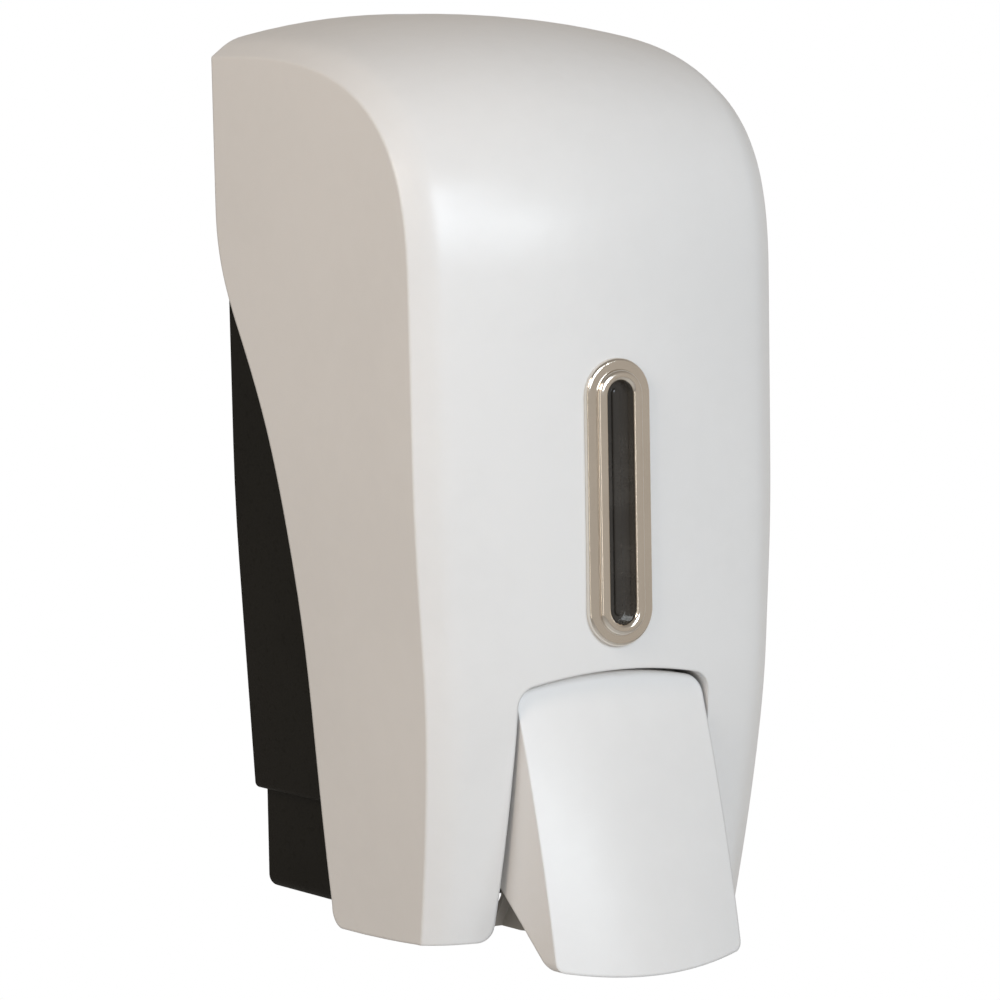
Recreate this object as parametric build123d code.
"""Wall mounted soap dispenser: a tapered, crowned cover hinged at its bottom rear, over a black
back body that carries a refillable reservoir and a push-up piston pump worked by a front lever.

Sizes are in millimetres. Working datum: X across (0 is the middle), F is the distance in front of
the wall (F = -Y), Z is the height above the cover's front bottom edge. On export everything moves
down by FIXING_HEIGHT, so the part's origin is the centre of the wall screw pattern on the wall.
"""
from build123d import *
import math
import os

# ---- cover: outside shape -------------------------------------------------------------------
COVER_HALF_BOTTOM = 53.3     # half width at the front bottom edge
TAPER_SPREAD = 6.7           # how much wider each side is where the taper ends
TOP_SPREAD = 0.8             # and how much wider again at the top corners
TAPER_HEIGHT = 118.0         # height where the taper ends
TAPER_BLEND_RADIUS = 700.0
COVER_TOP = 249.4            # height of the top crease at the wall
COVER_DEPTH = 110.6          # wall to the front crease at its furthest point
SHOULDER_DROP = 71.4         # crease to where the front begins to round over to the top
SHOULDER_POWER = 3.12        # squareness of the rounded shoulder
TUCK_HEIGHT = 76.0           # below this height the front tucks in towards the wall
TUCK_DEPTH = 12.0            # how far the front crease has tucked in at the bottom edge
TUCK_POWER = 1.5
CROWN_RADIUS = 224.0         # gentle arc across the front and the top
STRIP_WIDTH = 6.6            # sloping strip beside each side face
STRIP_SLOPE = 0.50
STRIP_BLEND = 1.2
COVER_WALL = 2.6
COVER_WALL_GAP = 0.6         # cover's rear edge to the wall
REAR_EDGE_DROP = 44.4        # crease to where the rear edge begins to sweep forward
REAR_EDGE_WAYS = ((15.0, 39.5), (31.5, 72.5), (41.6, 112.0))  # F, and drop from its beginning
REAR_EDGE_FOOT_F = 48.8      # F of the rear edge at its foot
REAR_EDGE_FOOT_Z = 4.0
HEEL_LENGTH = 5.2            # rounded corner from the rear edge to the bottom edge
BOTTOM_HEEL_Z = -2.2         # height of the side's bottom edge at its rear
BOTTOM_TOE_Z = -0.8          # and at the front, where it is level
BOTTOM_TOE_SETBACK = 14.0    # front crease to where the bottom edge becomes level
CREASE_FILLET = 0.8

# ---- window ---------------------------------------------------------------------------------
WINDOW_CENTRE = 123.1
OPENING_HALF_WIDTH = 4.2
BEZEL_HALF_HEIGHT = 40.75
BEZEL_RIM = 6.4              # opening to the flange's outer edge
BEZEL_FLANGE = 1.6
BEZEL_FLANGE_ROUND = 1.0
BEZEL_LIP_WIDTH = 3.2        # opening to the raised lip's outer edge
BEZEL_LIP_HEIGHT = 3.2
BEZEL_LIP_ROUND = 1.4
BEZEL_SLEEVE = 2.0           # sleeve wall, outside the lens seat
SLEEVE_REACH = 3.0           # sleeve's end behind the cover's wall
LENS_SETBACK = 0.6           # lens face behind the skin
LENS_THICKNESS = 2.0
LENS_BORDER = 1.8            # lens reaches past the opening by this much
LENS_RIB_HALF_WIDTH = 1.3    # raised strip down the lens
LENS_RIB_HEIGHT = 0.8
LENS_RIB_MARGIN = 2.2        # end of the strip to the end of the opening
GASKET_WIDTH = 2.0
RETAINER_THICKNESS = 1.2
RETAINER_WIDTH = 3.0         # retainer's reach outside the sleeve
SEAT_GAP = 0.2               # assembly clearance round seated pieces

# ---- lever and its opening ------------------------------------------------------------------
LEVER_HALF_WIDTH = 31.1
LEVER_TOP = 74.6
LEVER_ARCH_DROP = 4.0
LEVER_CORNER_RADIUS = 6.0
LEVER_BOTTOM = -5.6          # bottom edge at the lever's sides
LEVER_BOTTOM_BOW = 3.4       # how much lower the bottom edge is in the middle
LEVER_REACH = 23.3           # front crease to the lever's side edge at Z = 0
LEVER_FACE_SLOPE = 0.193
LEVER_FACE_BEND = 0.000985
LEVER_CROWN_TOP = 2.1
LEVER_CROWN_BOTTOM = 4.2
LEVER_WALL = 2.4
LEVER_SETBACK = 7.6          # front crease to the rear of the lever's sides
LEVER_FOOT_RADIUS = 3.0      # lower corners in front view
LEVER_HEEL_Z = 16.5          # height where the side's rear edge begins to slant forward
LEVER_KNEE_SETBACK = 17.0    # face at Z = 0 to the bend in the slanting edge
LEVER_KNEE_Z = 5.4
LEVER_TOE_SETBACK = 3.5      # and to the slanting edge's foot
POST_RADIUS = 3.5
CARRIER_SCREW_DROPS = (32.0, 14.0)   # lever pin to each carrier screw
CARRIER_SCREW_LENGTH = 8.0
LEVER_GAP = 1.0              # gap over the arch
LEVER_SIDE_GAP = 0.7         # gap beside the lever at its top
LEVER_GAP_SPREAD = 2.6       # extra side gap at the bottom
CUTOUT_LIP = 2.4
CUTOUT_LIP_DEPTH = 11.0      # front crease to the rear of the lip round the opening
CUTOUT_FOOT_RADIUS = 4.5     # rounded lower corners of the cover beside the lever

# ---- lever motion ---------------------------------------------------------------------------
PIVOT_SETBACK = 2.6          # front crease to the lever pin
PIVOT_Z = 60.0
PIVOT_PIN_RADIUS = 2.0
RUNNING_FIT = 0.05
LUG_RADIUS = 6.0
LUG_WIDTH = 4.0
CARRIER_INSET = 10.0         # lever's side to the outside of the carrier's webs
CARRIER_WEB = 3.0
WEB_HEEL_SETBACK = 20.0      # lever pin to the rear of the web's foot
WEB_ANKLE_SETBACK = 13.5     # and to the web's rear edge over its foot
WEB_ANKLE_Z = 10.0
WEB_BOTTOM = 0.4
WEB_RIM_WIDTH = 1.8          # rim along the rear edge of the web's foot
WEB_RIM_REACH = 3.0          # and its reach outside the web
WEB_FRONT_GAP = 1.2          # web's front edge to the lever's inner face
PAD_Z = 34.0
PAD_RADIUS = 3.5
PAD_GAP = 0.3

# ---- back body ------------------------------------------------------------------------------
BODY_INSET = 4.0             # body side to cover's outer face
BODY_WALL = 2.5
BACK_WALL = 3.0
BODY_DEPTH = 52.0
BODY_TOP_GAP = 12.9          # cover's top crease to the body's top
BODY_CORNER = 14.0
LEDGE_HEIGHT = 32.5
BLOCK_INSET = 6.1            # cover's bottom half width to the lower block
BLOCK_BOTTOM = 2.3
BLOCK_DEPTH = 74.0
BLOCK_CORNER = 4.0
BAY_GAP = 6.0                # lever's side to the side of the open bay in the block
FIXING_HEIGHT = 130.0
FIXING_SPACING_X = 64.0
FIXING_SPACING_Z = 110.0
FIXING_HOLE_RADIUS = 2.75
RIB_HEIGHT = 5.0

# ---- cover hinge ----------------------------------------------------------------------------
HINGE_F = 60.0
HINGE_Z = 9.6
HINGE_PIN_RADIUS = 2.0
HINGE_BOSS_RADIUS = 6.0
HINGE_SIDE_GAP = 0.5

# ---- reservoir ------------------------------------------------------------------------------
RES_INSET = 7.8              # cover's bottom half width to the tank's side
RES_REAR = 8.0
RES_SETBACK = 8.6            # front crease to the tank's front
RES_STEP_F = 50.0
RES_STEP_Z = 84.0
RES_TOP_GAP = 43.4           # cover's top crease to the tank's top
RES_WALL = 1.8
RES_CORNER = 7.0
MOUTH_F = 66.0
MOUTH_LENGTH = 34.0
MOUTH_WIDTH = 56.0
RIM_HEIGHT = 4.0
RIM_WALL = 2.0
LID_THICKNESS = 2.4
LID_OVERHANG = 1.6
LID_GAP = 0.4
LID_PIN_RADIUS = 1.25

# ---- pump -----------------------------------------------------------------------------------
PUMP_SETBACK = 30.6          # front crease to the pump's axis
NECK_RADIUS = 12.0
NECK_BORE = 9.5
NECK_BOTTOM = 71.0
GASKET_THICKNESS = 1.5
CYLINDER_BORE = 7.6
CYLINDER_WALL = 2.2
CYLINDER_LENGTH = 18.0
CYLINDER_FLANGE = 2.0
NUT_WALL = 4.5
NUT_LIP = 2.0
NUT_TOP_GAP = 1.5
PISTON_GAP = 0.3             # piston head to the bore
PISTON_HEAD = 4.5
PISTON_REST_GAP = 10.8       # free height over the piston at rest
ROD_RADIUS = 4.0
ROD_BORE = 2.0
ROD_LENGTH = 40.0
SEAL_WIRE = 1.1
YOKE_THICKNESS = 4.2
YOKE_HALF_WIDTH = 22.0
YOKE_REACH = 14.0            # pump's axis to the yoke's front and rear edges
SPRING_GAP = 2.2             # spring's inside to the cylinder
SPRING_WIRE = 0.6
SPRING_TURNS = 5
NOZZLE_RADIUS = 5.6
NOZZLE_TIP_RADIUS = 3.8
NOZZLE_BOTTOM = -6.0
BRACKET_HALF_WIDTH = 26.5
BRACKET_PLATE = 4.0
BRACKET_SHELF = 2.5
BRACKET_BOTTOM = 8.0
BRACKET_REACH = 18.0         # pump's axis to the shelf's front edge
RAIL_HALF_WIDTH = 3.0
RAIL_DEPTH = 7.0
RAIL_GAP = 0.3

# ---- lock -----------------------------------------------------------------------------------
LOCK_F = 16.0
LOCK_RADIUS = 6.0
LOCK_FIT = 0.08
LOCK_COLLAR = 2.5
LOCK_LENGTH = 13.0
CAM_LENGTH = 13.0
CAM_HALF_WIDTH = 4.0
CAM_THICKNESS = 2.5
CAM_GAP = 0.8                # locked cam to the keeper in front of it
KEEPER_X = 9.6
KEEPER_WIDTH = 16.0
KEEPER_PLATE = 1.5
KEEPER_OVERLAP = 1.6         # keeper's top edge over the cam's top face

SCREW_RADIUS = 1.5
SCREW_HEAD_RADIUS = 2.9
SCREW_HEAD = 2.0

# ---- derived places -------------------------------------------------------------------------
BEZEL_HALF_WIDTH = OPENING_HALF_WIDTH + BEZEL_RIM
OPENING_HALF_HEIGHT = BEZEL_HALF_HEIGHT - BEZEL_RIM
SLEEVE_END = -COVER_WALL - SLEEVE_REACH
COVER_HALF_MIDDLE = COVER_HALF_BOTTOM + TAPER_SPREAD
COVER_HALF_TOP = COVER_HALF_MIDDLE + TOP_SPREAD
SHOULDER_HEIGHT = COVER_TOP - SHOULDER_DROP
REAR_EDGE_TOP = COVER_TOP - REAR_EDGE_DROP
BODY_TOP = COVER_TOP - BODY_TOP_GAP
BLOCK_HALF_WIDTH = COVER_HALF_BOTTOM - BLOCK_INSET
BAY_HALF_WIDTH = LEVER_HALF_WIDTH + BAY_GAP
LEVER_FACE_BOTTOM = COVER_DEPTH + LEVER_REACH
LEVER_REAR = COVER_DEPTH - LEVER_SETBACK
CUTOUT_LIP_REAR = COVER_DEPTH - CUTOUT_LIP_DEPTH
PIVOT_F = COVER_DEPTH - PIVOT_SETBACK
CARRIER_HALF = LEVER_HALF_WIDTH - CARRIER_INSET
PUMP_F = COVER_DEPTH - PUMP_SETBACK
PAD_F = PUMP_F
RES_HALF_WIDTH = COVER_HALF_BOTTOM - RES_INSET
RES_FRONT = COVER_DEPTH - RES_SETBACK
RES_TOP = COVER_TOP - RES_TOP_GAP
CYLINDER_RADIUS = CYLINDER_BORE + CYLINDER_WALL
PISTON_RADIUS = CYLINDER_BORE - PISTON_GAP
NUT_RADIUS = NECK_RADIUS + NUT_WALL
SPRING_RADIUS = CYLINDER_RADIUS + SPRING_GAP + SPRING_WIRE
YOKE_REAR = PUMP_F - YOKE_REACH
YOKE_FRONT = PUMP_F + YOKE_REACH
BRACKET_FRONT = PUMP_F + BRACKET_REACH
HALF_SLOPE_LOW = (COVER_HALF_MIDDLE - COVER_HALF_BOTTOM) / TAPER_HEIGHT
HALF_SLOPE_HIGH = (COVER_HALF_TOP - COVER_HALF_MIDDLE) / (COVER_TOP - TAPER_HEIGHT)
CYLINDER_TOP = NECK_BOTTOM - GASKET_THICKNESS
NUT_BOTTOM = CYLINDER_TOP - CYLINDER_FLANGE - NUT_LIP
PISTON_TOP = CYLINDER_TOP - CYLINDER_FLANGE - PISTON_REST_GAP
YOKE_BOTTOM = PAD_Z + PAD_RADIUS + PAD_GAP
YOKE_TOP = YOKE_BOTTOM + YOKE_THICKNESS
FLOOR_TOP = LEDGE_HEIGHT + BODY_WALL
LID_HINGE_F = MOUTH_F - MOUTH_LENGTH / 2 - RIM_WALL - 4.0
LID_HINGE_Z = RES_TOP + RIM_HEIGHT + LID_GAP + LID_THICKNESS / 2
MIN = Align.MIN
MID = Align.CENTER


# ---- small helpers --------------------------------------------------------------------------
def side_plane(x):
    """Plane square to X, with local x = F and local y = Z; its normal points to -X."""
    return Plane(origin=(x, 0, 0), x_dir=(0, -1, 0), z_dir=(-1, 0, 0))


def slab_x(face, x0, x1):
    """Side-view face made into a slab from x0 to x1."""
    return extrude(side_plane(x1) * face, x1 - x0)


def slab_f(face, f0, f1):
    """Front-view face (local x = X, local y = Z) made into a slab from f0 to f1."""
    return extrude(Plane.XZ.offset(f0) * face, f1 - f0)


def block(x0, x1, f0, f1, z0, z1):
    """Box between two corners."""
    return Pos(x0, -f1, z0) * Box(x1 - x0, f1 - f0, z1 - z0, align=(MIN, MIN, MIN))


def rod_x(radius, f, z, x0, x1):
    """Round bar along X."""
    return Location((x0, -f, z), (0, 90, 0)) * Cylinder(radius, x1 - x0, align=(MID, MID, MIN))


def rod_f(radius, x, z, f0, f1):
    """Round bar along F."""
    return Location((x, -f0, z), (90, 0, 0)) * Cylinder(radius, f1 - f0, align=(MID, MID, MIN))


def rod_z(radius, x, f, z0, z1):
    """Round bar along Z."""
    return Pos(x, -f, z0) * Cylinder(radius, z1 - z0, align=(MID, MID, MIN))


def ring_z(outer, inner, x, f, z0, z1):
    """Plain ring along Z."""
    return rod_z(outer, x, f, z0, z1) - rod_z(inner, x, f, z0 - 1, z1 + 1)


def stadium(half_width, half_height):
    """Upright slot shape with round ends."""
    return RectangleRounded(2 * half_width, 2 * half_height, half_width - 0.001)


def both_sides(shape):
    """A piece and its mirror image across the middle plane."""
    return [shape, mirror(shape, Plane.YZ)]


# ---- the crowned skin -----------------------------------------------------------------------
def cover_half(z):
    """Half width of the cover at height z."""
    slope = HALF_SLOPE_HIGH if z > TAPER_HEIGHT else HALF_SLOPE_LOW
    return COVER_HALF_MIDDLE + slope * (z - TAPER_HEIGHT)


def front_crease(z):
    """F of the front crease at height z, below the shoulder."""
    share = max(0.0, (TUCK_HEIGHT - z) / TUCK_HEIGHT)
    return COVER_DEPTH - TUCK_DEPTH * share ** TUCK_POWER


def crease(s):
    """Point (F, Z) of the crease: s < 0 behind the wall, 0 to 90 the shoulder, then downwards."""
    if s <= 0:
        return s, COVER_TOP
    if s >= 90:
        z = SHOULDER_HEIGHT - 2 * (s - 90)
        return front_crease(z), z
    angle = math.radians(90 - s)
    height = COVER_TOP - SHOULDER_HEIGHT
    n = SHOULDER_POWER
    along = abs(math.cos(angle) / COVER_DEPTH) ** n + abs(math.sin(angle) / height) ** n
    reach = along ** (-1 / n)
    return reach * math.cos(angle), SHOULDER_HEIGHT + reach * math.sin(angle)


def crown(x, half):
    """Rise of the skin over the crease at x, where the side face stands at half."""
    def fall(r):
        bend = (r - half + STRIP_WIDTH) / STRIP_BLEND
        return r * r / (2 * CROWN_RADIUS) + STRIP_SLOPE * STRIP_BLEND * math.log1p(math.exp(bend))
    return fall(half) - fall(abs(x))


def skin_point(s, x, inset=0.0):
    """Point of the skin over crease station s, at x, moved inwards by inset."""
    (f0, z0), (f1, z1) = crease(s - 0.5), crease(s + 0.5)
    length = math.hypot(f1 - f0, z1 - z0)
    normal_f, normal_z = (z0 - z1) / length, (f1 - f0) / length
    f, z = crease(s)
    rise = crown(x, cover_half(z)) - inset
    return Vector(x, -(f + normal_f * rise), z + normal_z * rise)


def skin_face(inset):
    """The crowned skin as one smooth face that overshoots the cover all round."""
    last = 90 + (SHOULDER_HEIGHT + 16) / 2
    stations = [-10, -5] + [5 * i for i in range(19)]
    steps = 9
    stations += [90 + (last - 90) * (i + 1) / steps for i in range(steps)]
    edge = COVER_HALF_TOP + 3
    columns = 30
    across = [edge * math.sin(math.pi / 2 * (2 * j / columns - 1)) for j in range(columns + 1)]
    rows = [[skin_point(s, x, inset) for x in across] for s in stations]
    return Face.make_surface_from_array_of_points(rows, tol=0.005)


def front_outline(inset, bottom, top):
    """Tapered front view of the cover, drawn in by inset."""
    def half(z):
        return cover_half(z) - inset
    side = FilletPolyline((half(bottom), bottom), (half(TAPER_HEIGHT), TAPER_HEIGHT),
                          (half(top), top), radius=TAPER_BLEND_RADIUS)
    closing = Polyline((half(top), top), (0, top), (0, bottom), (half(bottom), bottom))
    right = make_face(side.edges() + closing.edges())
    return right + mirror(right, Plane.YZ)


def skinned_block(inset):
    """Solid under the skin: the front outline as far forward as the skin."""
    raw = slab_f(front_outline(inset, -10.0, COVER_TOP + 20), -3.0, COVER_DEPTH + 25)
    pieces = split(raw, bisect_by=skin_face(inset), keep=Keep.BOTH).solids()
    return max(pieces, key=lambda piece: -abs(piece.center().Y + COVER_DEPTH / 2))


# ---- cover ----------------------------------------------------------------------------------
def cover_side_view():
    """Side view that the cover keeps: swept rear edge, round rear corner, bowed bottom edge."""
    top = COVER_TOP + 20
    gap = COVER_WALL_GAP
    foot_f, foot_z = REAR_EDGE_FOOT_F, REAR_EDGE_FOOT_Z
    low, heel_f = BOTTOM_HEEL_Z, REAR_EDGE_FOOT_F + HEEL_LENGTH
    toe_f, toe_z = COVER_DEPTH - BOTTOM_TOE_SETBACK, BOTTOM_TOE_Z
    far = COVER_DEPTH + 30
    ways = [(f, REAR_EDGE_TOP - drop) for f, drop in REAR_EDGE_WAYS]
    sweep = Spline((gap, REAR_EDGE_TOP), *ways, (foot_f, foot_z), tangents=[(0, -1), (0.10, -1)])
    corner = ThreePointArc((foot_f, foot_z), (foot_f + 1.2, low + 1.8), (heel_f, low))
    bow = ThreePointArc((heel_f, low), (toe_f - 20.0, low + 0.4), (toe_f, toe_z))
    rest = Polyline((toe_f, toe_z), (far, toe_z), (far, top), (gap, top), (gap, REAR_EDGE_TOP))
    return make_face([sweep, corner, bow] + list(rest.edges()))


def lever_outline(grow, spread):
    """Front view of the lever, or of its opening when grown and spread at the bottom."""
    half = LEVER_HALF_WIDTH
    low = LEVER_BOTTOM if grow == 0 else LEVER_BOTTOM - 10
    top = LEVER_TOP + grow
    corner_z = top - LEVER_ARCH_DROP
    upper = half + (LEVER_SIDE_GAP if grow else 0)
    lower = upper + spread
    arch = ThreePointArc((-upper, corner_z), (0, top), (upper, corner_z))
    foot = ThreePointArc((-lower, low), (0, low - LEVER_BOTTOM_BOW), (lower, low))
    right, left = Line((upper, corner_z), (lower, low)), Line((-upper, corner_z), (-lower, low))
    face = make_face([arch, right, foot, left])
    high = face.vertices().filter_by(lambda v: v.Y > 0)
    face = fillet(high, LEVER_CORNER_RADIUS)
    return fillet(face.vertices().filter_by(lambda v: v.Y < low + 1), LEVER_FOOT_RADIUS)


def cutout_feet():
    """Front view of what rounds the cover's lower corners beside the lever opening."""
    upper = LEVER_HALF_WIDTH + LEVER_SIDE_GAP
    top = LEVER_TOP + LEVER_GAP - LEVER_ARCH_DROP
    edge = BOTTOM_TOE_Z
    x = upper + LEVER_GAP_SPREAD * (top - edge) / (top - LEVER_BOTTOM + 10)
    r = CUTOUT_FOOT_RADIUS
    near = r * (1 - math.sqrt(0.5))
    square = Polyline((x - 1, edge + r), (x - 1, edge - 8), (x + r, edge - 8), (x + r, edge))
    bend = ThreePointArc((x + r, edge), (x + near, edge + near), (x, edge + r))
    foot = make_face(list(square.edges()) + [bend, Line((x, edge + r), (x - 1, edge + r))])
    return foot + mirror(foot, Plane.YZ)


def make_cover(outer, inner):
    """Front cover: crowned shell with its lever opening, window slot, lugs, bosses and collar."""
    side_keep = slab_x(cover_side_view(), -80, 80)
    envelope = soften_creases(outer & side_keep)
    shell = envelope - inner
    opening = lever_outline(LEVER_GAP, LEVER_GAP_SPREAD)
    lip_face = offset(opening, CUTOUT_LIP, kind=Kind.INTERSECTION)
    lip = slab_f(lip_face, CUTOUT_LIP_REAR, COVER_DEPTH + 20) & envelope
    lugs = both_sides(make_lug() & envelope)
    bosses = both_sides(make_hinge_boss() & envelope)
    collar_bottom = lock_top() - LOCK_LENGTH + 4.0
    collar = rod_z(LOCK_RADIUS + LOCK_COLLAR, 0, LOCK_F, collar_bottom, COVER_TOP + 20) & envelope
    shell = shell + lip
    for piece in lugs + bosses + [collar]:
        shell = shell + piece
    shell -= slab_f(opening, CUTOUT_LIP_REAR - 8, COVER_DEPTH + 40)
    shell -= slab_f(cutout_feet(), CUTOUT_LIP_REAR - 1, COVER_DEPTH + 40)
    shell -= window_slot()
    lug_end = lug_start() + LUG_WIDTH + 0.1
    shell -= rod_x(PIVOT_PIN_RADIUS, PIVOT_F, PIVOT_Z, -lug_end, lug_end)
    shell -= rod_z(LOCK_RADIUS + LOCK_FIT, 0, LOCK_F, collar_bottom - 5, COVER_TOP + 30)
    reach = cover_half(HINGE_Z) - COVER_WALL
    bore = HINGE_PIN_RADIUS + RUNNING_FIT
    return shell - rod_x(bore, HINGE_F, HINGE_Z, -reach, reach)


def soften_creases(envelope):
    """Small radius along the crease between each side face and the skin."""
    def on_crease(edge):
        middle = edge @ 0.5
        f = -middle.Y
        forward = f > 5 if middle.Z > SHOULDER_HEIGHT else f > front_crease(middle.Z) - 2
        on_side = abs(abs(middle.X) - cover_half(middle.Z)) < 0.4
        return forward and on_side and middle.Z > BOTTOM_TOE_Z + 0.5
    return fillet(envelope.edges().filter_by(on_crease), CREASE_FILLET)


def lug_start():
    """X where a pin lug begins, beside the lever."""
    return LEVER_HALF_WIDTH + LEVER_SIDE_GAP + 0.4


def make_lug():
    """Lug beside the lever opening that holds one end of the lever pin."""
    x0 = lug_start()
    boss = rod_x(LUG_RADIUS, PIVOT_F, PIVOT_Z, x0, x0 + LUG_WIDTH)
    root = block(x0, x0 + LUG_WIDTH, PIVOT_F, COVER_DEPTH + 10, PIVOT_Z - LUG_RADIUS,
                 PIVOT_Z + LUG_RADIUS)
    return boss + root


def make_hinge_boss():
    """Disc on the cover's inner side face that turns on one hinge pin."""
    x0 = BLOCK_HALF_WIDTH + HINGE_SIDE_GAP
    return rod_x(HINGE_BOSS_RADIUS, HINGE_F, HINGE_Z, x0, cover_half(HINGE_Z) - COVER_WALL / 2)


# ---- window ---------------------------------------------------------------------------------
def window_plane():
    """Plane on the front skin at the window's centre, with local y up the skin."""
    s = 90 + (SHOULDER_HEIGHT - WINDOW_CENTRE) / 2
    low, high = skin_point(s + 2, 0), skin_point(s - 2, 0)
    up = (high - low).normalized()
    return Plane(origin=skin_point(s, 0), x_dir=(1, 0, 0), z_dir=Vector(1, 0, 0).cross(up))


def lens_half():
    """Half width and half height of the lens."""
    return OPENING_HALF_WIDTH + LENS_BORDER, OPENING_HALF_HEIGHT + LENS_BORDER


def sleeve_half():
    """Half width and half height of the bezel's sleeve."""
    width, height = lens_half()
    return width + BEZEL_SLEEVE, height + BEZEL_SLEEVE


def window_slab(half, low, high):
    """Stadium slab on the window plane, between two heights over the skin."""
    return extrude(window_plane().offset(low) * stadium(*half), high - low)


def window_slot():
    """Slot through the cover for the bezel's sleeve."""
    width, height = sleeve_half()
    return window_slab((width + SEAT_GAP, height + SEAT_GAP), -12, 12)


def make_bezel(outer):
    """Bright bezel: round-edged flange, raised rounded lip and a sleeve through the cover."""
    opening = (OPENING_HALF_WIDTH, OPENING_HALF_HEIGHT)
    lip_half = (OPENING_HALF_WIDTH + BEZEL_LIP_WIDTH, OPENING_HALF_HEIGHT + BEZEL_LIP_WIDTH)
    flange = window_slab((BEZEL_HALF_WIDTH, BEZEL_HALF_HEIGHT), -2, BEZEL_FLANGE)
    flange = fillet(outline_edges(flange, BEZEL_FLANGE), BEZEL_FLANGE_ROUND)
    lip = window_slab(lip_half, -2, BEZEL_LIP_HEIGHT)
    front = flange + lip - window_slab(opening, -20, 20)
    front = fillet(outline_edges(front, BEZEL_LIP_HEIGHT), BEZEL_LIP_ROUND)
    front = front - outer
    sleeve = window_slab(sleeve_half(), SLEEVE_END, LENS_SETBACK)
    return front + sleeve - window_slab(opening, -20, 20) - lens_pocket()


def outline_edges(piece, height):
    """Edges of a window piece at one height over the skin."""
    plane = window_plane()
    return piece.edges().filter_by(
        lambda e: abs(plane.to_local_coords(e @ 0.5).Z - height) < 0.01
        and abs(plane.to_local_coords(e @ 0.0).Z - height) < 0.01)


def lens_pocket():
    """Pocket behind the bezel's opening that seats the lens and its gasket."""
    width, height = lens_half()
    return window_slab((width + SEAT_GAP, height + SEAT_GAP), SLEEVE_END - 3, -LENS_SETBACK)


def make_lens():
    """Smoked lens with a soft front edge and a raised strip down its middle."""
    lens = window_slab(lens_half(), -LENS_SETBACK - LENS_THICKNESS, -LENS_SETBACK)
    lens = chamfer(outline_edges(lens, -LENS_SETBACK), 0.3)
    top = LENS_RIB_HEIGHT - LENS_SETBACK
    rib_half = (LENS_RIB_HALF_WIDTH, OPENING_HALF_HEIGHT - LENS_RIB_MARGIN)
    rib = window_slab(rib_half, -LENS_SETBACK - 0.4, top)
    return lens + fillet(outline_edges(rib, top), LENS_RIB_HEIGHT * 0.8)


def make_window_gasket():
    """Rubber ring behind the lens."""
    width, height = lens_half()
    ring = window_slab((width, height), SLEEVE_END, -LENS_SETBACK - LENS_THICKNESS)
    return ring - window_slab((width - GASKET_WIDTH, height - GASKET_WIDTH), SLEEVE_END - 5, 5)


def make_window_retainer():
    """Spring ring that holds the bezel from inside the cover."""
    width, height = sleeve_half()
    outside = (width + RETAINER_WIDTH, height + RETAINER_WIDTH)
    inset = BEZEL_SLEEVE + 1.6
    ring = window_slab(outside, SLEEVE_END - RETAINER_THICKNESS, SLEEVE_END)
    return ring - window_slab((width - inset, height - inset), SLEEVE_END - 5, 5)


# ---- lever ----------------------------------------------------------------------------------
def lever_edge(z):
    """F of the lever face at its side edges."""
    return LEVER_FACE_BOTTOM - LEVER_FACE_SLOPE * z - LEVER_FACE_BEND * z * z


def lever_face(inset):
    """Crowned front face of the lever, moved back by inset."""
    rows = []
    count = 9
    low, high = LEVER_BOTTOM - 12, LEVER_TOP + 8
    for i in range(count + 1):
        z = low + (high - low) * i / count
        share = (z - LEVER_BOTTOM) / (LEVER_TOP - LEVER_BOTTOM)
        rise = LEVER_CROWN_BOTTOM + (LEVER_CROWN_TOP - LEVER_CROWN_BOTTOM) * share
        row = []
        for j in range(-8, 9):
            x = (LEVER_HALF_WIDTH + 4) * j / 8
            f = lever_edge(z) + rise * (1 - (x / LEVER_HALF_WIDTH) ** 2) - inset
            row.append(Vector(x, -f, z))
        rows.append(row)
    return Face.make_surface_from_array_of_points(rows, tol=0.005)


def lever_block(outline, inset):
    """Lever outline filled from its rear to its crowned face."""
    raw = slab_f(outline, LEVER_REAR - 5, LEVER_FACE_BOTTOM + 12)
    pieces = split(raw, bisect_by=lever_face(inset), keep=Keep.BOTH).solids()
    return min(pieces, key=lambda piece: -piece.center().Y)


def lever_side_view():
    """Side view that the lever keeps, with the slanting lower rear edge."""
    bottom = LEVER_BOTTOM - LEVER_BOTTOM_BOW
    front, high = LEVER_FACE_BOTTOM + 16, LEVER_TOP + 15
    return make_face(Polyline(
        (LEVER_REAR, high), (LEVER_REAR, LEVER_HEEL_Z),
        (LEVER_FACE_BOTTOM - LEVER_KNEE_SETBACK, LEVER_KNEE_Z),
        (LEVER_FACE_BOTTOM - LEVER_TOE_SETBACK, LEVER_BOTTOM), (LEVER_FACE_BOTTOM - 1.0, bottom - 1),
        (front, bottom - 1), (front, high), (LEVER_REAR, high)))


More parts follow.
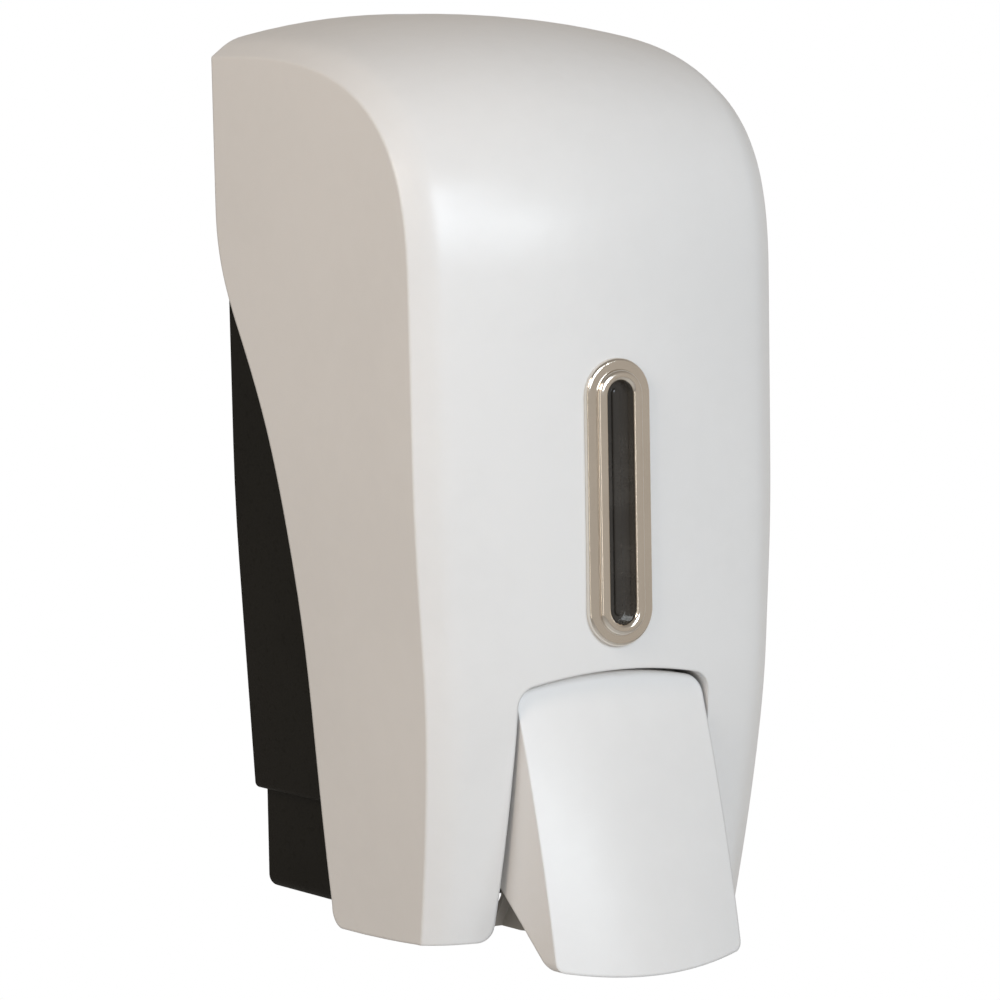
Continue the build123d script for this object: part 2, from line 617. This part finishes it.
def make_lever():
    """White lever shell with a pin bore in each side and screw posts inside."""
    outline = lever_outline(0, 0)
    outer = lever_block(outline, 0)
    inner = lever_block(offset(outline, -LEVER_WALL), LEVER_WALL)
    inner += block(-LEVER_HALF_WIDTH + LEVER_WALL, LEVER_HALF_WIDTH - LEVER_WALL,
                   LEVER_REAR - 4, LEVER_FACE_BOTTOM - 8, LEVER_BOTTOM - 9, LEVER_BOTTOM + 12)
    keep = slab_x(lever_side_view(), -60, 60)
    shell = (outer & keep) - inner
    for z in carrier_screw_heights():
        post = rod_f(POST_RADIUS, 0, z, carrier_plate_f() + CARRIER_WEB, LEVER_FACE_BOTTOM + 12)
        shell += post & outer
    for z in carrier_screw_heights():
        shell -= rod_f(SCREW_RADIUS, 0, z, carrier_plate_f(), carrier_plate_f() + CARRIER_SCREW_LENGTH + 0.5)
    return shell - rod_x(PIVOT_PIN_RADIUS + RUNNING_FIT, PIVOT_F, PIVOT_Z, -60, 60)


def carrier_plate_f():
    """F of the rear of the carrier's cross plate."""
    return PIVOT_F


def carrier_screw_heights():
    """Heights of the two screws that hold the carrier in the lever."""
    return tuple(PIVOT_Z - drop for drop in CARRIER_SCREW_DROPS)


def carrier_web():
    """Side view of one carrier web: pivot boss, crank arm with its pad, and the front rib."""
    def front_edge(z):
        return lever_edge(z) - LEVER_WALL - WEB_FRONT_GAP, z
    high = PIVOT_Z + 4
    toe_f, toe_z = front_edge(8.0)
    boss = Pos(PIVOT_F, PIVOT_Z) * Circle(LUG_RADIUS)
    nose = Pos(PAD_F, PAD_Z) * Circle(PAD_RADIUS)
    rib = make_face(Polyline(
        (PIVOT_F - LUG_RADIUS, PIVOT_Z), (PIVOT_F - 11, PAD_Z - 4),
        (PIVOT_F - WEB_ANKLE_SETBACK, WEB_ANKLE_Z), (PIVOT_F - WEB_HEEL_SETBACK, WEB_BOTTOM + 1),
        (PIVOT_F - WEB_HEEL_SETBACK, WEB_BOTTOM), (PIVOT_F - 8, WEB_BOTTOM), (toe_f - 8, 2.0),
        (toe_f, toe_z), front_edge(PAD_Z), front_edge(high), (PIVOT_F - 2, high),
        (PIVOT_F - LUG_RADIUS, PIVOT_Z)))
    arm = make_face(Polyline(
        (PAD_F, PAD_Z + PAD_RADIUS), (PIVOT_F - 8, PAD_Z + PAD_RADIUS), (PIVOT_F - 2, PAD_Z),
        (PIVOT_F - 8, 14.0), (PAD_F, PAD_Z - PAD_RADIUS), (PAD_F, PAD_Z + PAD_RADIUS)))
    return rib + arm + boss + nose


def carrier_rim():
    """Side view of the rim that stiffens the rear edge of one web's foot."""
    heel_f, ankle_f = PIVOT_F - WEB_HEEL_SETBACK, PIVOT_F - WEB_ANKLE_SETBACK
    high_f, high_z = PIVOT_F - 11, PAD_Z - 4
    return make_face(Polyline(
        (heel_f, WEB_BOTTOM), (heel_f + WEB_RIM_WIDTH, WEB_BOTTOM),
        (ankle_f + WEB_RIM_WIDTH, WEB_ANKLE_Z), (high_f + WEB_RIM_WIDTH, high_z), (high_f, high_z),
        (ankle_f, WEB_ANKLE_Z), (heel_f, WEB_BOTTOM + 1), (heel_f, WEB_BOTTOM)))


def make_carrier():
    """Grey inner carrier of the lever: two crank webs with rimmed feet and a cross plate."""
    outer_x, inner_x = CARRIER_HALF, CARRIER_HALF - CARRIER_WEB
    web = slab_x(carrier_web(), inner_x, outer_x)
    web += slab_x(carrier_rim(), inner_x, outer_x + WEB_RIM_REACH)
    plate_f = carrier_plate_f()
    low, high = carrier_screw_heights()
    plate = block(-inner_x, inner_x, plate_f, plate_f + CARRIER_WEB, low - 8, high + 5)
    carrier = web + mirror(web, Plane.YZ) + plate
    carrier -= rod_x(PIVOT_PIN_RADIUS + RUNNING_FIT, PIVOT_F, PIVOT_Z, -60, 60)
    for z in (low, high):
        carrier -= rod_f(SCREW_RADIUS + SEAT_GAP, 0, z, plate_f - 5, plate_f + 5)
    return carrier


def make_carrier_screws():
    """Screws that hold the carrier to the lever's posts."""
    plate_f = carrier_plate_f()
    tip_f = plate_f + CARRIER_SCREW_LENGTH
    return [screw_f(0, z, plate_f, tip_f, forward=True) for z in carrier_screw_heights()]


def screw_f(x, z, head_f, tip_f, forward):
    """Pan-head screw along F; its head sits behind head_f when it points forward."""
    if forward:
        shank = rod_f(SCREW_RADIUS, x, z, head_f, tip_f)
        head = rod_f(SCREW_HEAD_RADIUS, x, z, head_f - SCREW_HEAD, head_f)
        slot_f = head_f - SCREW_HEAD
    else:
        shank = rod_f(SCREW_RADIUS, x, z, tip_f, head_f)
        head = rod_f(SCREW_HEAD_RADIUS, x, z, head_f, head_f + SCREW_HEAD)
        slot_f = head_f + SCREW_HEAD
    cross = block(x - 1.8, x + 1.8, slot_f - 0.9, slot_f + 0.9, z - 0.35, z + 0.35)
    cross += block(x - 0.35, x + 0.35, slot_f - 0.9, slot_f + 0.9, z - 1.8, z + 1.8)
    return shank + head - cross


def make_lever_pin():
    """Steel pin through the cover's lugs, the lever's sides and the carrier's webs."""
    end = pin_end()
    groove = ring_x(PIVOT_PIN_RADIUS + 1, PIVOT_PIN_RADIUS - 0.5, end - 1.6, end - 0.8)
    pin = rod_x(PIVOT_PIN_RADIUS, PIVOT_F, PIVOT_Z, -end, end)
    pin = chamfer(pin.edges().filter_by(GeomType.CIRCLE), 0.3)
    return pin - groove - mirror(groove, Plane.YZ)


def pin_end():
    """Half length of the lever pin."""
    return lug_start() + LUG_WIDTH + 1.8


def ring_x(outer, inner, x0, x1):
    """Ring round the lever pin's axis."""
    hole = rod_x(inner, PIVOT_F, PIVOT_Z, x0 - 1, x1 + 1)
    return rod_x(outer, PIVOT_F, PIVOT_Z, x0, x1) - hole


def make_pin_clips():
    """Retaining clips in the grooves at both ends of the lever pin."""
    end = pin_end()
    clip = ring_x(PIVOT_PIN_RADIUS + 1.5, PIVOT_PIN_RADIUS - 0.5 + 0.02, end - 1.5, end - 0.9)
    clip -= block(end - 3, end + 1, PIVOT_F - 1.2, PIVOT_F + 1.2, PIVOT_Z - 6, PIVOT_Z)
    return both_sides(clip)


# ---- back body ------------------------------------------------------------------------------
def body_outline(inset):
    """Front view of the upper body, tapered like the cover."""
    face = front_outline(BODY_INSET + inset, LEDGE_HEIGHT + inset, BODY_TOP - inset)
    corners = face.vertices().filter_by(lambda v: abs(v.X) > 40)
    top = [v for v in corners if max(v.Y, v.Z) > BODY_TOP - inset - 1]
    face = fillet(top, BODY_CORNER - inset)
    low = [v for v in face.vertices() if abs(v.X) > 40 and max(v.Y, v.Z) < LEDGE_HEIGHT + inset + 1]
    return fillet(low, 2.0)


def block_outline(inset):
    """Front view of the narrower lower block."""
    half = BLOCK_HALF_WIDTH - inset
    low, high = BLOCK_BOTTOM + inset, FLOOR_TOP
    face = make_face(Polyline((-half, low), (half, low), (half, high), (-half, high), (-half, low)))
    return fillet([v for v in face.vertices() if max(v.Y, v.Z) < LEDGE_HEIGHT / 2],
                  BLOCK_CORNER - inset)


def make_body():
    """Black back body: wall panel, tray walls, floor ledge and the lower block with its bay."""
    tray = slab_f(body_outline(0), 0, BODY_DEPTH)
    tray -= slab_f(body_outline(BODY_WALL), BACK_WALL, BODY_DEPTH + 1)
    lower = slab_f(block_outline(0), 0, BLOCK_DEPTH)
    lower -= slab_f(block_outline(BODY_WALL), BACK_WALL, BLOCK_DEPTH - BODY_WALL)
    lower -= block(-60, 60, -1, BODY_DEPTH, LEDGE_HEIGHT + 0.01, 60)
    lower -= block(-60, 60, BODY_DEPTH - 0.01, BLOCK_DEPTH + 1, LEDGE_HEIGHT, 60)
    lower -= block(-BAY_HALF_WIDTH, BAY_HALF_WIDTH, BODY_DEPTH, BLOCK_DEPTH + 1, -5, 60)
    flange = block(-BAY_HALF_WIDTH, BAY_HALF_WIDTH, BODY_DEPTH - BODY_WALL, BODY_DEPTH,
                   BLOCK_BOTTOM, LEDGE_HEIGHT + 1)
    body = tray + lower + flange
    for x in (-BLOCK_HALF_WIDTH / 2, BLOCK_HALF_WIDTH / 2):
        body += block(x - 1.5, x + 1.5, BACK_WALL - 0.5, BACK_WALL + RIB_HEIGHT, 60, 200)
    for x in (-1, 1):
        for z in (-1, 1):
            body -= rod_f(FIXING_HOLE_RADIUS, x * FIXING_SPACING_X / 2,
                          FIXING_HEIGHT + z * FIXING_SPACING_Z / 2, -1, BACK_WALL + 1)
    for x, z in bracket_screw_places():
        body -= rod_f(SCREW_RADIUS, x, z, BODY_DEPTH - BODY_WALL - 1, BODY_DEPTH + 1)
    for x, f in keeper_screw_places():
        body -= rod_z(SCREW_RADIUS, x, f, BODY_TOP - BODY_WALL - 1, BODY_TOP + 1)
    body -= rod_x(HINGE_PIN_RADIUS, HINGE_F, HINGE_Z, -60, 60)
    return body


def make_hinge_pins():
    """Headed pins pressed through the lower block into the cover's bosses."""
    x0 = BLOCK_HALF_WIDTH - BODY_WALL
    end = cover_half(HINGE_Z) - COVER_WALL - 0.4
    shank = rod_x(HINGE_PIN_RADIUS, HINGE_F, HINGE_Z, x0 - 1, end)
    head = rod_x(HINGE_PIN_RADIUS + 1.8, HINGE_F, HINGE_Z, x0 - 2, x0)
    return both_sides(shank + head)


# ---- lock -----------------------------------------------------------------------------------
def lock_top():
    """Height of the barrel's face, just under the cover's crest."""
    return COVER_TOP + crown(0, COVER_HALF_TOP) - 0.5


def make_lock_barrel():
    """Quarter-turn barrel with a key slot and a shoulder under its collar."""
    top = lock_top()
    bottom = top - LOCK_LENGTH
    barrel = rod_z(LOCK_RADIUS, 0, LOCK_F, bottom, top)
    barrel += rod_z(LOCK_RADIUS + 1.8, 0, LOCK_F, bottom, bottom + 3.7)
    barrel -= block(-3.5, 3.5, LOCK_F - 0.9, LOCK_F + 0.9, top - 5, top + 1)
    return barrel - rod_z(SCREW_RADIUS, 0, LOCK_F, bottom - 1, bottom + 6)


def make_lock_cam():
    """Cam under the barrel; unlocked it points to the wall."""
    high = lock_top() - LOCK_LENGTH
    low = high - CAM_THICKNESS
    cam = rod_z(CAM_HALF_WIDTH + 1.5, 0, LOCK_F, low, high)
    cam += block(-CAM_HALF_WIDTH, CAM_HALF_WIDTH, LOCK_F - CAM_LENGTH, LOCK_F, low, high)
    return cam - rod_z(SCREW_RADIUS + 0.1, 0, LOCK_F, low - 1, high + 1)


def make_cam_screw():
    """Screw that holds the cam to the barrel."""
    low = lock_top() - LOCK_LENGTH - CAM_THICKNESS
    screw = rod_z(SCREW_RADIUS, 0, LOCK_F, low, low + CAM_THICKNESS + 5)
    screw += rod_z(SCREW_HEAD_RADIUS, 0, LOCK_F, low - SCREW_HEAD, low)
    return screw - block(-2, 2, LOCK_F - 0.4, LOCK_F + 0.4, low - 3, low - 1.2)


def keeper_screw_places():
    """X and F of the keeper's screws."""
    return [(KEEPER_X + share * KEEPER_WIDTH, LOCK_F - 4.0) for share in (0.25, 0.75)]


def make_keeper():
    """Angle plate on the body's top; the locked cam lies behind its upright."""
    x0, x1 = KEEPER_X, KEEPER_X + KEEPER_WIDTH
    front = LOCK_F + CAM_HALF_WIDTH + CAM_GAP + KEEPER_PLATE
    top = lock_top() - LOCK_LENGTH + KEEPER_OVERLAP
    foot = block(x0, x1, LOCK_F - 8.5, front, BODY_TOP, BODY_TOP + KEEPER_PLATE)
    keeper = foot + block(x0, x1, front - KEEPER_PLATE, front, BODY_TOP, top)
    outer = keeper.edges().filter_by(Axis.Y).sort_by(Axis.Z)[-2:]
    keeper = fillet(outer, 2.5)
    for x, f in keeper_screw_places():
        keeper -= rod_z(SCREW_RADIUS + 0.2, x, f, BODY_TOP - 1, BODY_TOP + 4)
    return keeper


def make_keeper_screws():
    """Screws through the keeper's foot into the body's top."""
    seat = BODY_TOP + KEEPER_PLATE
    screws = []
    for x, f in keeper_screw_places():
        shank = rod_z(SCREW_RADIUS, x, f, BODY_TOP - BODY_WALL - 1, seat)
        head = rod_z(SCREW_HEAD_RADIUS, x, f, seat, seat + SCREW_HEAD)
        slot = block(x - 2, x + 2, f - 0.4, f + 0.4, seat + 1.2, seat + 3)
        screws.append(shank + head - slot)
    return screws


# ---- reservoir ------------------------------------------------------------------------------
def reservoir_form(inset, corner):
    """Stepped tank form drawn in by inset, with all its long edges rounded."""
    low, top = FLOOR_TOP + inset, RES_TOP - inset
    rear, front = RES_REAR + inset, RES_FRONT - inset
    step_f, step_z = RES_STEP_F - inset, RES_STEP_Z + inset
    half = RES_HALF_WIDTH - inset
    face = make_face(Polyline((rear, low), (step_f, low), (step_f, step_z), (front, step_z),
                              (front, top), (rear, top), (rear, low)))
    form = slab_x(face, -half, half)
    return fillet(form.edges(), corner)


def reservoir_mouth(grow, z0, z1):
    """Filler mouth as a rounded upright block."""
    plane = Plane.XY.offset(z0)
    face = Pos(0, -MOUTH_F) * RectangleRounded(MOUTH_WIDTH + 2 * grow, MOUTH_LENGTH + 2 * grow,
                                               6 + grow)
    return extrude(plane * face, z1 - z0)


def make_reservoir():
    """Blow-moulded tank with a neck for the pump, a filler rim and two lid ears."""
    tank = reservoir_form(0, RES_CORNER)
    rim = reservoir_mouth(RIM_WALL, RES_TOP - 1, RES_TOP + RIM_HEIGHT)
    neck = rod_z(NECK_RADIUS, 0, PUMP_F, NECK_BOTTOM, RES_STEP_Z + 1)
    tank = tank + rim + neck
    for x0 in (-24.0, 18.0):
        ear = rod_x(3.2, LID_HINGE_F, LID_HINGE_Z, x0, x0 + 6)
        ear += block(x0, x0 + 6, LID_HINGE_F - 3.2, LID_HINGE_F + 3.2, RES_TOP - 1, LID_HINGE_Z)
        tank += ear
    tank -= reservoir_form(RES_WALL, RES_CORNER - RES_WALL)
    tank -= reservoir_mouth(0, RES_TOP - 5, RES_TOP + RIM_HEIGHT + 1)
    tank -= rod_z(NECK_BORE, 0, PUMP_F, NECK_BOTTOM - 1, RES_STEP_Z + 5)
    return tank - rod_x(LID_PIN_RADIUS, LID_HINGE_F, LID_HINGE_Z, -30, 30)


def make_lid():
    """Filler lid: rounded plate, knuckle between the ears and a finger tab."""
    z0 = RES_TOP + RIM_HEIGHT + LID_GAP
    grow = RIM_WALL + LID_OVERHANG
    plate = reservoir_mouth(grow, z0, z0 + LID_THICKNESS)
    knuckle = rod_x(2.8, LID_HINGE_F, LID_HINGE_Z, -17.6, 17.6)
    bridge = block(-17.6, 17.6, LID_HINGE_F, MOUTH_F - MOUTH_LENGTH / 2 + 2, z0, z0 + LID_THICKNESS)
    front = MOUTH_F + MOUTH_LENGTH / 2 + grow
    tab = block(-9, 9, front - 2, front + 3.5, z0, z0 + LID_THICKNESS)
    lid = plate + knuckle + bridge + tab
    for x0 in (-25.0, 17.6):
        lid -= block(x0, x0 + 7.4, LID_HINGE_F - 5, LID_HINGE_F + 4.2, z0 - 3, z0 + 9)
    return lid - rod_x(LID_PIN_RADIUS + RUNNING_FIT, LID_HINGE_F, LID_HINGE_Z, -30, 30)


def make_lid_pin():
    """Pin through the lid's knuckle and the reservoir's ears."""
    return rod_x(LID_PIN_RADIUS, LID_HINGE_F, LID_HINGE_Z, -24.5, 24.5)


# ---- pump -----------------------------------------------------------------------------------
def make_neck_nut():
    """Ribbed nut that clamps the pump cylinder to the reservoir's neck."""
    high = RES_STEP_Z - NUT_TOP_GAP
    nut = ring_z(NUT_RADIUS, NECK_RADIUS + SEAT_GAP, 0, PUMP_F, NUT_BOTTOM, high)
    lip = ring_z(NUT_RADIUS - 1, CYLINDER_RADIUS + SEAT_GAP, 0, PUMP_F, NUT_BOTTOM,
                 NUT_BOTTOM + NUT_LIP)
    nut += lip
    ribs = 24
    for i in range(ribs):
        angle = math.tau * i / ribs
        nut -= rod_z(0.9, NUT_RADIUS * math.cos(angle), PUMP_F + NUT_RADIUS * math.sin(angle),
                     NUT_BOTTOM + 2, high + 1)
    return nut


def make_neck_gasket():
    """Flat gasket between the neck and the cylinder's flange."""
    return ring_z(NECK_RADIUS - SEAT_GAP, NECK_BORE, 0, PUMP_F, CYLINDER_TOP, NECK_BOTTOM)


def make_cylinder():
    """Pump cylinder with its flange and the inlet plate."""
    bottom = CYLINDER_TOP - CYLINDER_LENGTH
    body = rod_z(CYLINDER_RADIUS, 0, PUMP_F, bottom, CYLINDER_TOP)
    body += rod_z(NECK_RADIUS - SEAT_GAP, 0, PUMP_F, CYLINDER_TOP - CYLINDER_FLANGE, CYLINDER_TOP)
    body -= rod_z(CYLINDER_BORE, 0, PUMP_F, bottom - 1, CYLINDER_TOP - CYLINDER_FLANGE)
    body -= rod_z(1.1, 0, PUMP_F, bottom, CYLINDER_TOP + 1)
    ports = 4
    for i in range(ports):
        angle = math.tau * i / ports
        body -= rod_z(1.2, 3.4 * math.cos(angle), PUMP_F + 3.4 * math.sin(angle), bottom,
                      CYLINDER_TOP + 1)
    return body


def make_inlet_valve():
    """Umbrella valve under the inlet plate."""
    plate = CYLINDER_TOP - CYLINDER_FLANGE
    valve = rod_z(5.4, 0, PUMP_F, plate - 0.9, plate)
    valve += rod_z(1.0, 0, PUMP_F, plate, CYLINDER_TOP)
    return valve + rod_z(1.6, 0, PUMP_F, CYLINDER_TOP, CYLINDER_TOP + 1.4)


def make_piston():
    """Hollow piston with a seal groove and a shoulder over the yoke."""
    head_low = PISTON_TOP - PISTON_HEAD
    piston = rod_z(PISTON_RADIUS, 0, PUMP_F, head_low, PISTON_TOP)
    piston += rod_z(ROD_RADIUS, 0, PUMP_F, PISTON_TOP - ROD_LENGTH, PISTON_TOP)
    piston += rod_z(ROD_RADIUS + 1.6, 0, PUMP_F, YOKE_TOP, YOKE_TOP + 1.5)
    middle = PISTON_TOP - PISTON_HEAD / 2
    seat = cylinder_seal_radius() - SEAL_WIRE
    piston -= ring_z(PISTON_RADIUS + 1, seat, 0, PUMP_F, middle - SEAL_WIRE, middle + SEAL_WIRE)
    return piston - rod_z(ROD_BORE, 0, PUMP_F, 0, PISTON_TOP + 1)


def cylinder_seal_radius():
    """Middle radius of the seal ring, so that it runs in the cylinder."""
    return CYLINDER_BORE - RUNNING_FIT - SEAL_WIRE


def make_piston_seal():
    """Ring seal in the piston's groove."""
    middle = PISTON_TOP - PISTON_HEAD / 2
    return Pos(0, -PUMP_F, middle) * Torus(cylinder_seal_radius(), SEAL_WIRE - 0.02)


def make_spring():
    """Return spring from the yoke up to the neck nut."""
    low, high = YOKE_TOP + SPRING_WIRE + 0.1, NUT_BOTTOM - SPRING_WIRE - 0.1
    height = high - low
    path = Pos(0, -PUMP_F, low) * Helix(height / SPRING_TURNS, height, SPRING_RADIUS)
    section = Plane(origin=path @ 0, z_dir=path % 0) * Circle(SPRING_WIRE)
    return sweep(section, path=path, is_frenet=True)


def make_yoke():
    """Grey carriage plate lifted by the lever's pads; it guides on the bracket's rail."""
    plate = block(-YOKE_HALF_WIDTH, YOKE_HALF_WIDTH, YOKE_REAR, YOKE_FRONT, YOKE_BOTTOM, YOKE_TOP)
    plate = fillet(plate.edges().filter_by(Axis.Z), 4.0)
    tongue = block(-9, 9, BODY_DEPTH + BRACKET_PLATE + 1.0, YOKE_REAR + 5, YOKE_BOTTOM, YOKE_TOP)
    rail = RAIL_HALF_WIDTH + RAIL_GAP
    notch_f = BODY_DEPTH + BRACKET_PLATE + RAIL_DEPTH + RAIL_GAP
    notch = block(-rail, rail, BODY_DEPTH, notch_f, YOKE_BOTTOM - 9, YOKE_TOP + 9)
    skirt = block(-9, 9, BODY_DEPTH + BRACKET_PLATE + 1.0, notch_f + 2, YOKE_BOTTOM - 6, YOKE_BOTTOM)
    yoke = plate + tongue + skirt - notch
    return yoke - rod_z(ROD_RADIUS + 0.02, 0, PUMP_F, YOKE_BOTTOM - 9, YOKE_TOP + 9)


def make_nozzle():
    """Nozzle on the hollow rod, tapered to its tip."""
    shoulder = 6.0
    nozzle = rod_z(NOZZLE_RADIUS, 0, PUMP_F, shoulder, YOKE_BOTTOM)
    taper = Pos(0, -PUMP_F, NOZZLE_BOTTOM) * Cone(
        NOZZLE_TIP_RADIUS, NOZZLE_RADIUS, shoulder - NOZZLE_BOTTOM, align=(MID, MID, MIN))
    nozzle += taper
    nozzle -= rod_z(ROD_RADIUS + 0.02, 0, PUMP_F, PISTON_TOP - ROD_LENGTH, YOKE_BOTTOM + 1)
    return nozzle - rod_z(2.4, 0, PUMP_F, NOZZLE_BOTTOM - 1, PISTON_TOP)


def make_outlet_valve():
    """Slit outlet valve in the nozzle's tip."""
    low = NOZZLE_BOTTOM + 2.0
    valve = rod_z(2.4 - 0.02, 0, PUMP_F, low, low + 5.0)
    valve -= rod_z(1.6, 0, PUMP_F, low + 1.0, low + 6.0)
    return valve - block(-1.3, 1.3, PUMP_F - 0.12, PUMP_F + 0.12, low - 1, low + 2)


def bracket_screw_places():
    """X and Z of the bracket's screws."""
    return [(x, z) for x in (-18.0, 18.0) for z in (BRACKET_BOTTOM + 6.0, LEDGE_HEIGHT - 5.0)]


def make_bracket():
    """Grey pump bracket: back plate, shelf under the neck nut, gussets and the guide rail."""
    rear, front = BODY_DEPTH, BODY_DEPTH + BRACKET_PLATE
    half = BRACKET_HALF_WIDTH
    high = NUT_BOTTOM
    low = high - BRACKET_SHELF
    shelf = block(-half, half, rear, BRACKET_FRONT, low, high)
    tips = [e for e in shelf.edges().filter_by(Axis.Z) if -(e @ 0.5).Y > BRACKET_FRONT - 1]
    bracket = fillet(tips, 9.0) + block(-half, half, rear, front, BRACKET_BOTTOM, high)
    gusset = make_face(Polyline((rear, low - 16), (rear, high), (front + 24, high),
                                (front + 24, low), (rear, low - 16)))
    for x in both_sides(slab_x(gusset, half - BODY_WALL, half)):
        bracket += x
    bracket += block(-RAIL_HALF_WIDTH, RAIL_HALF_WIDTH, rear, front + RAIL_DEPTH,
                     BRACKET_BOTTOM + 6, low + 1)
    bracket -= rod_z(SPRING_RADIUS + SPRING_WIRE + 1.2, 0, PUMP_F, low - 1, high + 1)
    for x, z in bracket_screw_places():
        bracket -= rod_f(SCREW_RADIUS + SEAT_GAP, x, z, rear - 1, front + 1)
    return bracket


def make_bracket_screws():
    """Screws through the bracket's back plate into the body's flange."""
    seat = BODY_DEPTH + BRACKET_PLATE
    return [screw_f(x, z, seat, seat - 9, forward=False) for x, z in bracket_screw_places()]


# ---- assembly -------------------------------------------------------------------------------
def write_node(name, shape):
    """Write one node as a STEP, moved to the wall-fixing datum."""
    solids = []
    for item in shape if isinstance(shape, list) else [shape]:
        solids += list(item.solids())
    datum = Location((0, 0, -FIXING_HEIGHT))
    moved = Compound(children=[solid.moved(datum) for solid in solids])
    export_step(moved, os.path.join("parts", name + ".step"))


def main():
    """Build every node and write it."""
    os.makedirs("parts", exist_ok=True)
    outer, inner = skinned_block(0.0), skinned_block(COVER_WALL)
    nodes = {
        "front_cover": make_cover(outer, inner),
        "window_bezel": make_bezel(outer),
        "window_lens": make_lens(),
        "window_gasket": make_window_gasket(),
        "window_retainer": make_window_retainer(),
        "push_lever": make_lever(),
        "lever_carrier": make_carrier(),
        "carrier_screws": make_carrier_screws(),
        "lever_pin": make_lever_pin(),
        "lever_pin_clips": make_pin_clips(),
        "back_body": make_body(),
        "cover_hinge_pins": make_hinge_pins(),
        "lock_barrel": make_lock_barrel(),
        "lock_cam": make_lock_cam(),
        "lock_cam_screw": make_cam_screw(),
        "lock_keeper": make_keeper(),
        "keeper_screws": make_keeper_screws(),
        "reservoir": make_reservoir(),
        "reservoir_lid": make_lid(),
        "lid_hinge_pin": make_lid_pin(),
        "neck_nut": make_neck_nut(),
        "neck_gasket": make_neck_gasket(),
        "pump_cylinder": make_cylinder(),
        "inlet_valve": make_inlet_valve(),
        "pump_piston": make_piston(),
        "piston_seal": make_piston_seal(),
        "pump_spring": make_spring(),
        "pump_yoke": make_yoke(),
        "nozzle": make_nozzle(),
        "outlet_valve": make_outlet_valve(),
        "pump_bracket": make_bracket(),
        "bracket_screws": make_bracket_screws(),
    }
    for name, shape in nodes.items():
        write_node(name, shape)
        print(name)


main()
